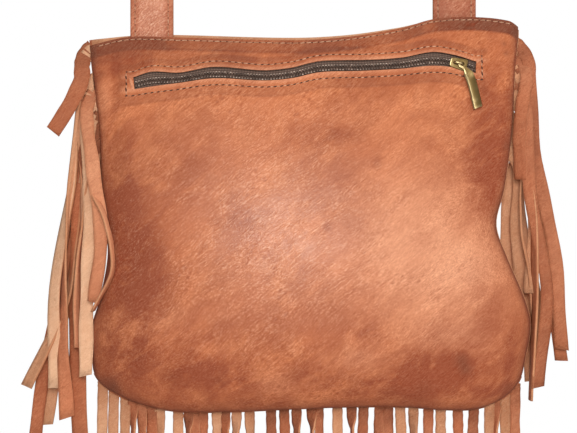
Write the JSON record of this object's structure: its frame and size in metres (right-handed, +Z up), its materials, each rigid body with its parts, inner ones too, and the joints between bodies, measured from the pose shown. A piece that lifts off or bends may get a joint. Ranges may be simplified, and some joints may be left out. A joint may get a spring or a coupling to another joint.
{
  "type": "fringe shoulder bag",
  "caption": "Soft leather shoulder bag with a zipped pocket on the near face, a stitched strap and long leather fringe along the side and bottom seams.",
  "frame": {"origin": "underside of the strap at its top, where the bag hangs", "axes": "+Z up, +X to the right as seen from the zip side, the zip looks along -Y"},
  "size_m": [0.4054, 0.0714, 0.8163],
  "materials": {
    "panel_leather": "soft waxed pull-up leather, mottled",
    "strap_leather": "waxed leather, stitched",
    "fringe_leather": "waxed grain side and pale flesh side",
    "zip_tape": "woven tape",
    "zip_teeth": "coil teeth",
    "aged_brass": "antique, worn bright on its edges"
  },
  "bodies": {
    "bag": {"zip_panel": "panel_leather", "plain_panel": "panel_leather", "strap": "strap_leather", "fringe_left": "fringe_leather", "fringe_right": "fringe_leather", "fringe_bottom": "fringe_leather", "zip_tape": "zip_tape", "zip_teeth": "zip_teeth", "zip_slider": "aged_brass"},
    "pull": {"zip_pull": "aged_brass"}
  },
  "joints": [
    {"name": "pull_swing", "type": "hinge", "parent": "bag", "child": "pull", "pos_m": [0.11606, -0.01314, -0.37285], "axis": [0.0911, -0.9937, 0.065], "range_deg": [-75, 50]}
  ]
}
